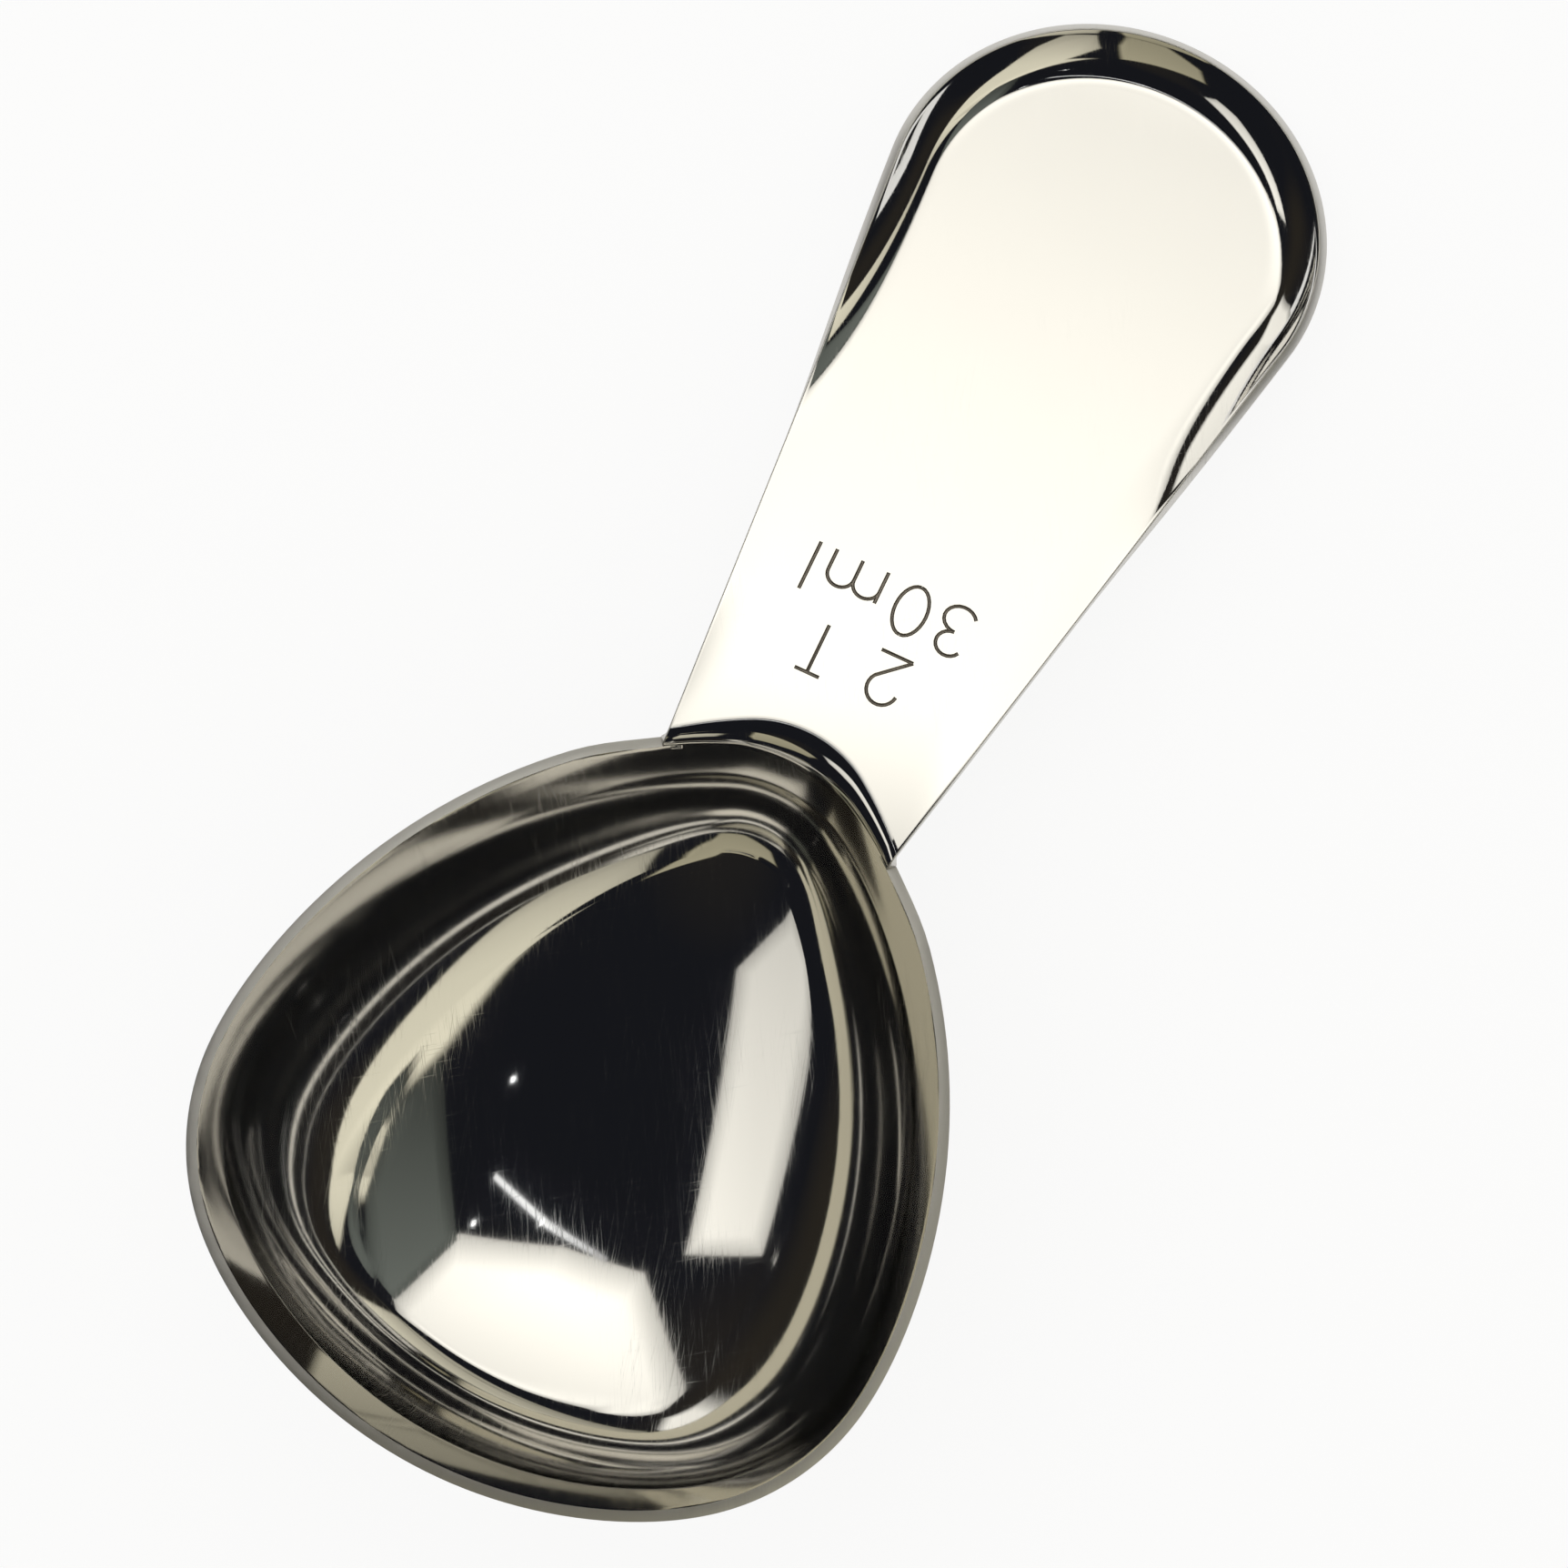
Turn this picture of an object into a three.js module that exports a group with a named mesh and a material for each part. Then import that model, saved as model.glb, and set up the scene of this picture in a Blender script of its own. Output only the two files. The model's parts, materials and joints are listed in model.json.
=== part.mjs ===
// Coffee scoop: a drawn steel bowl with a steep collar under its rim, and a pressed tongue handle
// that is turned up round its end and welded behind the rim. Millimetres, +Z up.
// The pieces are drawn with the mouth level at z = 0 and +X towards the handle.
// The whole scoop is then leaned back until bowl and handle both touch the table, as it lies in use.
import * as THREE from 'three';

// Sheet thickness, and the seam between the two pieces
const BOWL_SHEET = 0.8;
const HANDLE_SHEET = 0.9;
const SEAM_GAP = 0.2;

// Mouth: inside edge of the rim, a rounded triangle of tangent arcs, blunt tip at -X, neck at +X
const MOUTH_LENGTH = 56.15;
const MOUTH_WIDTH = 51.35;
const MOUTH_TIP_RADIUS = 33.2;
const MOUTH_CORNER_RADIUS = 16.65;
const MOUTH_SIDE_RADIUS = 42.7;
const MOUTH_NECK_RADIUS = 10.75;

// Collar: the steep band below the rim, which leans in more at the two ends than at the sides
const COLLAR_DEPTH = 5.3;
const COLLAR_SIDE_INSET = 1.2;
const COLLAR_END_INSET = 1.8;

// Base crease: where the wall meets the bottom, a smaller rounded triangle inside the mouth
const BASE_TIP_INSET = 6.9;
const BASE_NECK_INSET = 6.2;
const BASE_SIDE_INSET = 10.55;
const BASE_TIP_RADIUS = 27.9;
const BASE_CORNER_RADIUS = 9.25;
const BASE_SIDE_RADIUS = 36.05;
const BASE_NECK_RADIUS = 5.4;

// Bottom: a shallow bowl, rounder across than along, with its lowest point towards the tip
const BOWL_DEPTH = 19.7;
const BOTTOM_LONG_RADIUS = 56;
const BOTTOM_CROSS_RADIUS = 36.5;
const BOTTOM_TIP_SHIFT = 6.15;

// Roundness of the wall between 0 (straight) and 1
const WALL_ROUNDNESS = 0.55;

// Handle: length and root width at the neck of the mouth, straight sides, half an ellipse at the end
const HANDLE_LENGTH = 60;
const HANDLE_ROOT_WIDTH = 19.6;
const HANDLE_END_WIDTH = 32;
const HANDLE_END_ROUND = 15.1;

// Turned-up border of the handle: full height round the end, low along the sides, none at the root
const BORDER_WIDTH = 3.45;
const BORDER_END_RISE = 2.5;
const BORDER_SIDE_RISE = 0.15;
const BORDER_FADE_LENGTH = 25;
const BORDER_START_LENGTH = 11.5;

// Root of the handle: bend radius on top, and the length of the flange that lies behind the collar
const ROOT_BEND_RADIUS = 0.75;
const FLANGE_LENGTH = 3.25;

// Fineness of the faceted surfaces
const RIM_STEPS = 72;
const COLLAR_ROWS = 2;
const WALL_ROWS = 6;
const BASE_ROWS = 5;
const SIDE_STEPS = 12;
const END_STEPS = 14;
const BORDER_ROWS = 4;
const ROOT_STEPS = 14;
const BEND_ROWS = 4;
const SEARCH_STEPS = 50;

const STEEL = { color: 0xd8d6cf, roughness: 0.12, metalness: 1 };

const neckX = MOUTH_LENGTH / 2;
const baseX = (BASE_TIP_INSET - BASE_NECK_INSET) / 2;
const lowest = new THREE.Vector2(-BOTTOM_TIP_SHIFT, 0);

// Where two circles meet, on the +Y side of the line between their centres
function circlesMeet(first, firstRadius, second, secondRadius) {
  const apart = second.clone().sub(first);
  const gap = apart.length();
  const along = (firstRadius ** 2 - secondRadius ** 2 + gap ** 2) / (2 * gap);
  const across = Math.sqrt(firstRadius ** 2 - along ** 2);
  const unit = apart.divideScalar(gap);
  const left = new THREE.Vector2(-unit.y, unit.x);
  const side = left.y > 0 ? across : -across;
  return first.clone().addScaledVector(unit, along).addScaledVector(left, side);
}

function direction(angle) {
  return new THREE.Vector2(Math.cos(angle), Math.sin(angle));
}

// A rounded triangle of neck, side, corner and tip arcs, each tangent to the next.
// The result gives the point of the outline whose outward normal lies at an angle from +X.
function roundedTriangle({ centreX, length, width, tip, corner, side, neck }) {
  const tipCentre = new THREE.Vector2(centreX - length / 2 + tip, 0);
  const neckCentre = new THREE.Vector2(centreX + length / 2 - neck, 0);
  const sideY = width / 2 - side;
  const sideX = neckCentre.x - Math.sqrt((side - neck) ** 2 - sideY ** 2);
  const sideCentre = new THREE.Vector2(sideX, sideY);
  const cornerCentre = circlesMeet(tipCentre, tip - corner, sideCentre, side - corner);
  const arcs = [
    { end: neckCentre.clone().sub(sideCentre).angle(), centre: neckCentre, radius: neck },
    { end: cornerCentre.clone().sub(sideCentre).angle(), centre: sideCentre, radius: side },
    { end: cornerCentre.clone().sub(tipCentre).angle(), centre: cornerCentre, radius: corner },
    { end: Math.PI, centre: tipCentre, radius: tip },
  ];
  return (angle) => {
    const folded = Math.acos(THREE.MathUtils.clamp(Math.cos(angle), -1, 1));
    const arc = arcs.find((item) => folded <= item.end) ?? arcs[arcs.length - 1];
    const point = arc.centre.clone().addScaledVector(direction(folded), arc.radius);
    point.y *= Math.sin(angle) < 0 ? -1 : 1;
    return point;
  };
}

const mouthAt = roundedTriangle({
  centreX: 0,
  length: MOUTH_LENGTH,
  width: MOUTH_WIDTH,
  tip: MOUTH_TIP_RADIUS,
  corner: MOUTH_CORNER_RADIUS,
  side: MOUTH_SIDE_RADIUS,
  neck: MOUTH_NECK_RADIUS,
});

const baseAt = roundedTriangle({
  centreX: baseX,
  length: MOUTH_LENGTH - BASE_TIP_INSET - BASE_NECK_INSET,
  width: MOUTH_WIDTH - 2 * BASE_SIDE_INSET,
  tip: BASE_TIP_RADIUS,
  corner: BASE_CORNER_RADIUS,
  side: BASE_SIDE_RADIUS,
  neck: BASE_NECK_RADIUS,
});

function collarInset(angle) {
  return COLLAR_SIDE_INSET * Math.sin(angle) ** 2 + COLLAR_END_INSET * Math.cos(angle) ** 2;
}

// Slope of the collar below the horizontal
function collarSlope(angle) {
  return Math.atan2(COLLAR_DEPTH, collarInset(angle));
}

// Height of the bottom above a point of the plan
function baseHeight({ x, y }) {
  const along = (x - lowest.x) ** 2 / (2 * BOTTOM_LONG_RADIUS);
  const across = y ** 2 / (2 * BOTTOM_CROSS_RADIUS);
  return -BOWL_DEPTH + along + across;
}

function at(point, z) {
  return new THREE.Vector3(point.x, point.y, z);
}

// Inside of the bowl along one radius, from the rim down to the last ring before the lowest point
function bowlSection(angle) {
  const rim = mouthAt(angle);
  const collarFoot = rim.clone().addScaledVector(direction(angle), -collarInset(angle));
  const crease = baseAt(angle);
  const top = at(collarFoot, -COLLAR_DEPTH);
  const foot = at(crease, baseHeight(crease));
  const below = at(collarFoot, foot.z);
  const pull = top.clone().add(foot).multiplyScalar(0.5).lerp(below, WALL_ROUNDNESS);
  const wall = new THREE.QuadraticBezierCurve3(top, pull, foot);
  const section = [];
  for (let row = 0; row < COLLAR_ROWS; row += 1) {
    section.push(at(rim, 0).lerp(top, row / COLLAR_ROWS));
  }
  section.push(...wall.getPoints(WALL_ROWS));
  for (let row = 1; row < BASE_ROWS; row += 1) {
    const point = lowest.clone().lerp(crease, 1 - row / BASE_ROWS);
    section.push(at(point, baseHeight(point)));
  }
  return section;
}

// A sheet-metal solid: a surface seen from its upper side, given its thickness on the other side.
// points and normals belong together, faces are triangles, and every open edge gets a cut edge.
function sheetGeometry({ points, normals, faces }, thickness) {
  const count = points.length;
  const under = points.map((point, i) => point.clone().addScaledVector(normals[i], -thickness));
  const index = [];
  const open = new Map();
  for (const face of faces) {
    const [a, b, c] = face;
    index.push(a, b, c, a + count, c + count, b + count);
    for (const [from, to] of [[a, b], [b, c], [c, a]]) {
      if (!open.delete(`${to} ${from}`)) open.set(`${from} ${to}`, [from, to]);
    }
  }
  for (const [from, to] of open.values()) {
    index.push(from, from + count, to, to, from + count, to + count);
  }
  const geometry = new THREE.BufferGeometry().setFromPoints([...points, ...under]);
  geometry.setIndex(index);
  geometry.computeVertexNormals();
  return geometry;
}

// Two triangles between neighbouring rows of points, split along the shorter diagonal
function addQuad(surface, a, b, c, d) {
  const { points, faces } = surface;
  if (points[a].distanceTo(points[c]) <= points[b].distanceTo(points[d])) {
    faces.push([a, b, c], [a, c, d]);
  } else {
    faces.push([a, b, d], [b, c, d]);
  }
}

function bowlGeometry() {
  const rings = Array.from({ length: RIM_STEPS }, (_, i) => bowlSection((2 * Math.PI * i) / RIM_STEPS));
  const rows = rings[0].length;
  const surface = { points: rings.flat(), normals: [], faces: [] };
  const id = (ring, row) => ((ring + RIM_STEPS) % RIM_STEPS) * rows + row;
  const middle = surface.points.push(at(lowest, -BOWL_DEPTH)) - 1;
  for (let ring = 0; ring < RIM_STEPS; ring += 1) {
    for (let row = 0; row < rows; row += 1) {
      const above = surface.points[id(ring, Math.max(row - 1, 0))];
      const below = row + 1 < rows ? surface.points[id(ring, row + 1)] : surface.points[middle];
      const round = surface.points[id(ring + 1, row)].clone().sub(surface.points[id(ring - 1, row)]);
      surface.normals.push(below.clone().sub(above).cross(round).negate().normalize());
    }
    for (let row = 0; row + 1 < rows; row += 1) {
      const next = row + 1;
      addQuad(surface, id(ring, row), id(ring + 1, row), id(ring + 1, next), id(ring, next));
    }
    surface.faces.push([id(ring, rows - 1), id(ring + 1, rows - 1), middle]);
  }
  surface.normals.push(new THREE.Vector3(0, 0, 1));
  return sheetGeometry(surface, BOWL_SHEET);
}

// Round end of the handle, by the turn of its ellipse from the tip of the handle
const endCentre = new THREE.Vector2(neckX + HANDLE_LENGTH - HANDLE_END_ROUND, 0);
const endSquash = HANDLE_END_WIDTH / 2 / HANDLE_END_ROUND;

function endPoint(turn) {
  const { x, y } = direction(turn).multiplyScalar(HANDLE_END_ROUND);
  return new THREE.Vector2(endCentre.x + x, y * endSquash);
}

// Turn at which a straight side from the root touches the round end, found on the unsquashed circle
function touchingTurn() {
  const toRoot = new THREE.Vector2(neckX, HANDLE_ROOT_WIDTH / 2 / endSquash).sub(endCentre);
  return toRoot.angle() - Math.acos(HANDLE_END_ROUND / toRoot.length());
}

// Side edge on the +Y half: its start at the neck, where it touches the round end, and which way it faces
const sideStart = new THREE.Vector2(neckX, HANDLE_ROOT_WIDTH / 2);
const sideEnd = endPoint(touchingTurn());
const sideDirection = sideEnd.clone().sub(sideStart).normalize();
const sideOutward = new THREE.Vector2(-sideDirection.y, sideDirection.x);

// How far a point of the plan lies inside the side edge
function depthInside({ x, y }) {
  return (sideStart.x - x) * sideOutward.x + (sideStart.y - y) * sideOutward.y;
}

// Section through the root at one angle round the neck: how far out from the mouth the bend lies.
// The flange keeps the seam gap behind the collar, and its bend rolls over into the level panel.
function rootBend(angle) {
  const slope = collarSlope(angle);
  const corner = (BOWL_SHEET + SEAM_GAP) / Math.sin(slope);
  return { slope, start: corner + ROOT_BEND_RADIUS * Math.tan(slope / 2) };
}

// Point and normal on top of the root, at a share of the bend, or along the flange below it
function rootPoint(angle, bendShare, flangeShare) {
  const { slope, start } = rootBend(angle);
  const turn = slope * bendShare;
  const out = direction(angle);
  const drop = FLANGE_LENGTH * flangeShare;
  const reach = start - ROOT_BEND_RADIUS * Math.sin(turn) - drop * Math.cos(turn);
  const z = -ROOT_BEND_RADIUS * (1 - Math.cos(turn)) - drop * Math.sin(turn);
  const plan = mouthAt(angle).addScaledVector(out, reach);
  const normal = at(out.multiplyScalar(-Math.sin(turn)), Math.cos(turn));
  return { point: at(plan, z), normal };
}

// Angle round the neck at which the root line lies a given depth inside the side edge
function rootAngle(depth) {
  let inner = 0;
  let outer = Math.PI / 2;
  for (let step = 0; step < SEARCH_STEPS; step += 1) {
    const middle = (inner + outer) / 2;
    const { point } = rootPoint(middle, 0, 0);
    if (depthInside(point) > depth) {
      inner = middle;
    } else {
      outer = middle;
    }
  }
  return inner;
}

// Depths of the border's rows inside the edge, in plan
const borderRows = Array.from({ length: BORDER_ROWS + 1 }, (_, row) => row / BORDER_ROWS);
const borderDepths = borderRows.map((share) => BORDER_WIDTH * share);

// Angles of the points on the root line, from the +Y corner to the -Y one
function rootAngles() {
  const corner = borderDepths.map(rootAngle);
  const inner = corner[BORDER_ROWS];
  const middle = Array.from({ length: ROOT_STEPS - 1 }, (_, i) => inner * (1 - (2 * (i + 1)) / ROOT_STEPS));
  return [...corner, ...middle, ...corner.map((angle) => -angle).reverse()];
}

// Edge of the handle from the +Y root corner round the end to the -Y one: point and outward direction
function handleEdge() {
  const corner = rootPoint(rootAngle(0), 0, 0).point;
  const edge = [];
  for (let step = 0; step < SIDE_STEPS; step += 1) {
    const point = new THREE.Vector2(corner.x, corner.y).lerp(sideEnd, step / SIDE_STEPS);
    edge.push({ point, out: sideOutward.clone() });
  }
  for (let step = 0; step <= END_STEPS; step += 1) {
    const turn = touchingTurn() * (1 - step / END_STEPS);
    const out = new THREE.Vector2(Math.cos(turn) * endSquash, Math.sin(turn)).normalize();
    edge.push({ point: endPoint(turn), out });
  }
  const mirrored = edge.slice(0, -1).reverse().map(({ point, out }) => ({
    point: new THREE.Vector2(point.x, -point.y),
    out: new THREE.Vector2(out.x, -out.y),
  }));
  return [...edge, ...mirrored];
}

// Height of the turned-up border at the edge, by how far along the handle the edge point lies
function borderRise(x, rootX) {
  const { lerp, smoothstep } = THREE.MathUtils;
  const side = BORDER_SIDE_RISE * smoothstep(x, rootX, rootX + BORDER_START_LENGTH);
  return lerp(side, BORDER_END_RISE, smoothstep(x, endCentre.x - BORDER_FADE_LENGTH, endCentre.x));
}

// Top of the handle: border round the sides and end, level panel inside it, bend and flange at the root
function handleSurface() {
  const surface = { points: [], normals: [], faces: [] };
  const add = ({ point, normal }) => {
    surface.points.push(point);
    surface.normals.push(normal);
    return surface.points.length - 1;
  };
  const edge = handleEdge();
  const last = edge.length - 1;
  const angles = rootAngles();
  const border = edge.map(({ point, out }, column) => borderDepths.map((depth, row) => {
    if (column === 0) return add(rootPoint(angles[row], 0, 0));
    if (column === last) return add(rootPoint(-angles[row], 0, 0));
    const share = 1 - depth / BORDER_WIDTH;
    const rise = borderRise(point.x, edge[0].point.x);
    const plan = point.clone().addScaledVector(out, -depth);
    const steepness = (2 * rise * share) / BORDER_WIDTH;
    const normal = at(out.clone().multiplyScalar(-steepness), 1).normalize();
    return add({ point: at(plan, rise * share ** 2), normal });
  }));
  for (let column = 0; column < last; column += 1) {
    for (let row = 0; row < BORDER_ROWS; row += 1) {
      const [here, next] = [border[column], border[column + 1]];
      addQuad(surface, here[row], here[row + 1], next[row + 1], next[row]);
    }
  }
  const middleAngles = angles.slice(borderDepths.length, -borderDepths.length);
  const middle = middleAngles.map((angle) => add(rootPoint(angle, 0, 0)));
  const panel = [...border.map((column) => column[BORDER_ROWS]).reverse(), ...middle];
  const flat = panel.map((i) => new THREE.Vector2(surface.points[i].x, surface.points[i].y));
  for (const face of THREE.ShapeUtils.triangulateShape(flat, [])) {
    surface.faces.push(face.map((i) => panel[i]));
  }
  addRoot(surface, add, [...border[0], ...middle, ...[...border[last]].reverse()]);
  return surface;
}

// Bend and flange below the root line, row after row
function addRoot(surface, add, rootLine) {
  const angles = rootAngles();
  let above = rootLine;
  for (let row = 1; row <= BEND_ROWS + 1; row += 1) {
    const bendShare = Math.min(row / BEND_ROWS, 1);
    const flangeShare = row > BEND_ROWS ? 1 : 0;
    const below = angles.map((angle) => add(rootPoint(angle, bendShare, flangeShare)));
    for (let i = 0; i + 1 < below.length; i += 1) {
      addQuad(surface, above[i], below[i], below[i + 1], above[i + 1]);
    }
    above = below;
  }
}

function steelMesh(name, geometry) {
  const mesh = new THREE.Mesh(geometry, new THREE.MeshStandardMaterial(STEEL));
  mesh.name = name;
  return mesh;
}

// Lean at which the line under the scoop touches both the bowl and the handle
function restingLean(bowl, handle) {
  const profile = (mesh) => {
    const { array } = mesh.geometry.getAttribute('position');
    return Array.from({ length: array.length / 3 }, (_, i) => ({ x: array[3 * i], z: array[3 * i + 2] }));
  };
  const bowlPoints = profile(bowl);
  const leans = profile(handle)
    .filter(({ x }) => x > endCentre.x)
    .map((end) => Math.max(...bowlPoints.map(({ x, z }) => Math.atan2(end.z - z, end.x - x))));
  return Math.min(...leans);
}

const bowl = steelMesh('bowl', bowlGeometry());
const handle = steelMesh('handle', sheetGeometry(handleSurface(), HANDLE_SHEET));

const leaned = new THREE.Group();
leaned.add(bowl, handle);
leaned.rotation.y = restingLean(bowl, handle);

const scoop = new THREE.Group();
scoop.add(leaned);
const reach = new THREE.Box3().setFromObject(leaned, true);
leaned.position.set(-(reach.min.x + reach.max.x) / 2, 0, -reach.min.z);

export default scoop;
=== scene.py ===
"""Looks of a polished steel coffee scoop: its drawn bowl, its pressed handle and the studio round it."""
import json
import math

import bmesh
import bpy
from bpy.props import FloatProperty, FloatVectorProperty, IntProperty, PointerProperty
from mathutils import Matrix, Vector


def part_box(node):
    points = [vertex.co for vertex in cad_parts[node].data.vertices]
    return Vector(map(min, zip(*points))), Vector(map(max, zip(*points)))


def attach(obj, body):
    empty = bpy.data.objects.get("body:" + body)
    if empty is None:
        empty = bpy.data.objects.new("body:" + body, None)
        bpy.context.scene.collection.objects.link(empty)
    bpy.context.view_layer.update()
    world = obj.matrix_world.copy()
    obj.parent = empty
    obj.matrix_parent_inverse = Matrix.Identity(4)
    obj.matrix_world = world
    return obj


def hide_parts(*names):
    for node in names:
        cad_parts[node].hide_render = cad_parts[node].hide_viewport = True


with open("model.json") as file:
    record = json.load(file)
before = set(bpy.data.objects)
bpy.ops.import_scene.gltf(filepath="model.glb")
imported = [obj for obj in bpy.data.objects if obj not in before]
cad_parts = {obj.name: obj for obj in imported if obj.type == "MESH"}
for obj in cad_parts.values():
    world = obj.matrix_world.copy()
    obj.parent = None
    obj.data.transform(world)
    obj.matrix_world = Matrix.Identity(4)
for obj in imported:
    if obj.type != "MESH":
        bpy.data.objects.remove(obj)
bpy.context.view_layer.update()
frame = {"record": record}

bl_info = {
    "name": "Coffee Scoop",
    "version": (1, 0, 0),
    "blender": (4, 5, 0),
    "location": "View3D > Sidebar > Scoop",
    "description": "Models a polished steel coffee scoop over its packed frame",
    "category": "Add Mesh",
}

MM = 0.001
STEEL_FINISH = "mirror_polish"
CUT_EDGE = "cut_edge"
GROOVE = "groove"
WALL = "wall"
STEP = "step"
STRENGTH = "strength"
SAME_PLACE = 0.001 * MM
SHARP_BEND = math.radians(40)
CUT_BEND = math.radians(50)
EDGE_STEPS = 3
WHITE = (1.0, 1.0, 1.0, 1.0)


def length(name, description, millimetres):
    """A size of the scoop, given in millimetres and kept in metres."""
    return FloatProperty(
        name=name,
        description=description,
        default=millimetres * MM,
        min=0.0,
        precision=5,
        subtype="DISTANCE",
        unit="LENGTH",
    )


def angle(name, description, degrees):
    """An angle, given in degrees and kept in radians."""
    return FloatProperty(
        name=name,
        description=description,
        default=math.radians(degrees),
        subtype="ANGLE",
        unit="ROTATION",
    )


def share(name, description, value):
    """A plain number from 0 to 1."""
    return FloatProperty(
        name=name, description=description, default=value, min=0.0, max=1.0, subtype="FACTOR"
    )


def count(name, description, value):
    """How many steps a curve is made of."""
    return IntProperty(name=name, description=description, default=value, min=1)


def colour(name, description, value):
    """A colour, in linear red, green and blue."""
    return FloatVectorProperty(
        name=name, description=description, default=value, min=0.0, max=1.0, size=3, subtype="COLOR"
    )


class BowlSizes(bpy.types.PropertyGroup):
    """Sizes of the drawn bowl, inside the sheet."""

    sheet: length("Sheet", "Thickness of the bowl's steel", 0.8)
    mouth_length: length("Mouth length", "Inside of the rim from tip to neck", 56.15)
    mouth_width: length("Mouth width", "Inside of the rim across the widest place", 51.35)
    mouth_tip: length("Mouth tip radius", "Blunt end of the mouth", 33.2)
    mouth_corner: length("Mouth corner radius", "Two corners beside the tip", 16.65)
    mouth_side: length("Mouth side radius", "Long sides of the mouth", 42.7)
    mouth_neck: length("Mouth neck radius", "Narrow end at the handle", 10.75)
    collar_depth: length("Collar depth", "Height of the steep band below the rim", 5.3)
    collar_side_inset: length("Collar side inset", "How far the collar leans in at the sides", 1.2)
    collar_end_inset: length("Collar end inset", "How far the collar leans in at tip and neck", 1.8)
    base_tip_inset: length("Base tip inset", "From the rim to the base crease, at the tip", 7.7)
    base_neck_inset: length("Base neck inset", "From the rim to the base crease, at the neck", 6.2)
    base_side_inset: length("Base side inset", "From the rim to the base crease, at the sides", 10.55)
    base_tip: length("Base tip radius", "Blunt end of the base crease", 27.9)
    base_corner: length("Base corner radius", "Two corners of the base crease", 9.25)
    base_side: length("Base side radius", "Long sides of the base crease", 36.05)
    base_neck: length("Base neck radius", "Narrow end of the base crease", 5.4)
    depth: length("Depth", "From the mouth down to the lowest point", 19.66)
    bottom_long: length("Bottom long radius", "Curve of the bottom along the scoop", 56.0)
    bottom_cross: length("Bottom cross radius", "Curve of the bottom across the scoop", 36.5)
    bottom_shift: length("Bottom shift", "From the middle of the mouth to the lowest point", 6.15)
    wall_roundness: share("Wall roundness", "0 is a straight wall, 1 a square one", 0.55)
    tip_roundness: share("Tip roundness", "The same for the wall at the tip", 0.7)
    tip_start: share("Tip start", "Where that begins: 0 at the widest place, 1 at the tip", 0.3)
    polish_fade: share("Polish fade", "How far down the wall its coarser polish begins to fade", 0.55)
    arc_blend: angle("Arc blend", "Turn over which one arc of an outline runs into the next", 9.0)
    collar_fillet: length("Collar fillet", "Half width of the bend below the collar", 0.5)
    base_fillet: length("Base fillet", "Half width of the bend round the base", 0.5)
    edge_round: length("Edge round", "Rounding of the cut rim", 0.19)
    neck_rise: angle("Neck rise", "Turn over which the rim rises beside the handle's root", 9.0)
    rim_steps: count("Rim steps", "Steps round the bowl", 216)
    collar_rows: count("Collar rows", "Rows down the collar", 8)
    wall_rows: count("Wall rows", "Rows down the wall", 28)
    base_rows: count("Base rows", "Rows from the base crease to the lowest point", 26)
    collar_fillet_steps: count("Collar fillet steps", "Steps round the bend below the collar", 6)
    base_fillet_steps: count("Base fillet steps", "Steps round the bend at the base", 4)


class HandleSizes(bpy.types.PropertyGroup):
    """Sizes of the pressed handle."""

    sheet: length("Sheet", "Thickness of the handle's steel", 0.85)
    reach: length("Reach", "From the neck of the mouth to the end of the handle", 59.98)
    root_width: length("Root width", "Width at the neck of the mouth", 19.6)
    end_width: length("End width", "Width of the round end", 32.0)
    end_round: length("End round", "Length of the round end", 15.1)
    border_width: length("Border width", "Width of the turned-up border", 3.45)
    border_end_rise: length("Border end rise", "Height of the border round the end", 2.2)
    border_side_rise: length("Border side rise", "Height of the border along the sides", 0.15)
    border_fade: length("Border fade", "Stretch over which it drops to its side height", 25.0)
    border_start: length("Border start", "Stretch over which it grows from the root", 11.5)
    root_bend: length("Root bend", "Radius of the bend at the root, on top", 2.5)
    root_tight: share("Root tight", "What is left of the bend at the two corners of the root", 0.4)
    flange: length("Flange", "Length of the root below its bend, flush with the collar", 0.3)
    edge_round: length("Edge round", "Rounding of the cut edge", 0.14)
    root_steps: count("Root steps", "Steps along the root line", 40)
    side_steps: count("Side steps", "Steps along each side", 40)
    end_steps: count("End steps", "Steps round each half of the end", 40)
    border_rows: count("Border rows", "Rows across the border", 14)
    bend_rows: count("Bend rows", "Rows round the root bend", 10)


class MarkSizes(bpy.types.PropertyGroup):
    """Sizes of the engraved capacity marks."""

    height: length("Height", "Height of a figure", 3.85)
    tool_radius: length("Tool radius", "Radius of the engraving tool", 0.16)
    tool_lift: length("Tool lift", "Height of the tool's centre above the panel", 0.07)
    first_line: length("First line", "From the neck to the foot of the first line", 9.45)
    second_line: length("Second line", "From the neck to the foot of the second line", 14.85)
    turn: angle("Turn", "How far the lines are turned on the handle", 4.0)


class SteelLooks(bpy.types.PropertyGroup):
    """Colour and polish of the steel."""

    tint: colour("Tint", "Colour of the polished steel", (0.69, 0.675, 0.64))
    roughness: share("Roughness", "Roughness of the polish", 0.045)
    scratch_roughness: share("Scratch roughness", "What a polishing scratch adds to it", 0.08)
    wall_roughness: share("Wall roughness", "What the coarser polish of the steep wall adds to it", 0.05)
    edge_roughness: share("Edge roughness", "What the satin of the cut edge adds to it", 0.4)
    groove_roughness: share("Groove roughness", "What the engraving adds to it", 0.3)
    # Painted shade: the engraved groove faces get this dark colour for the shade in the grooves, on top
    # of their real cut.
    groove_shade_tint: colour("Groove tint", "Colour of the engraved lines", (0.22, 0.195, 0.165))
    scratch_width: length("Scratch width", "Space between fine polishing scratches", 0.09)
    scratch_length: length("Scratch length", "Length of a polishing scratch", 5.0)


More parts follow.
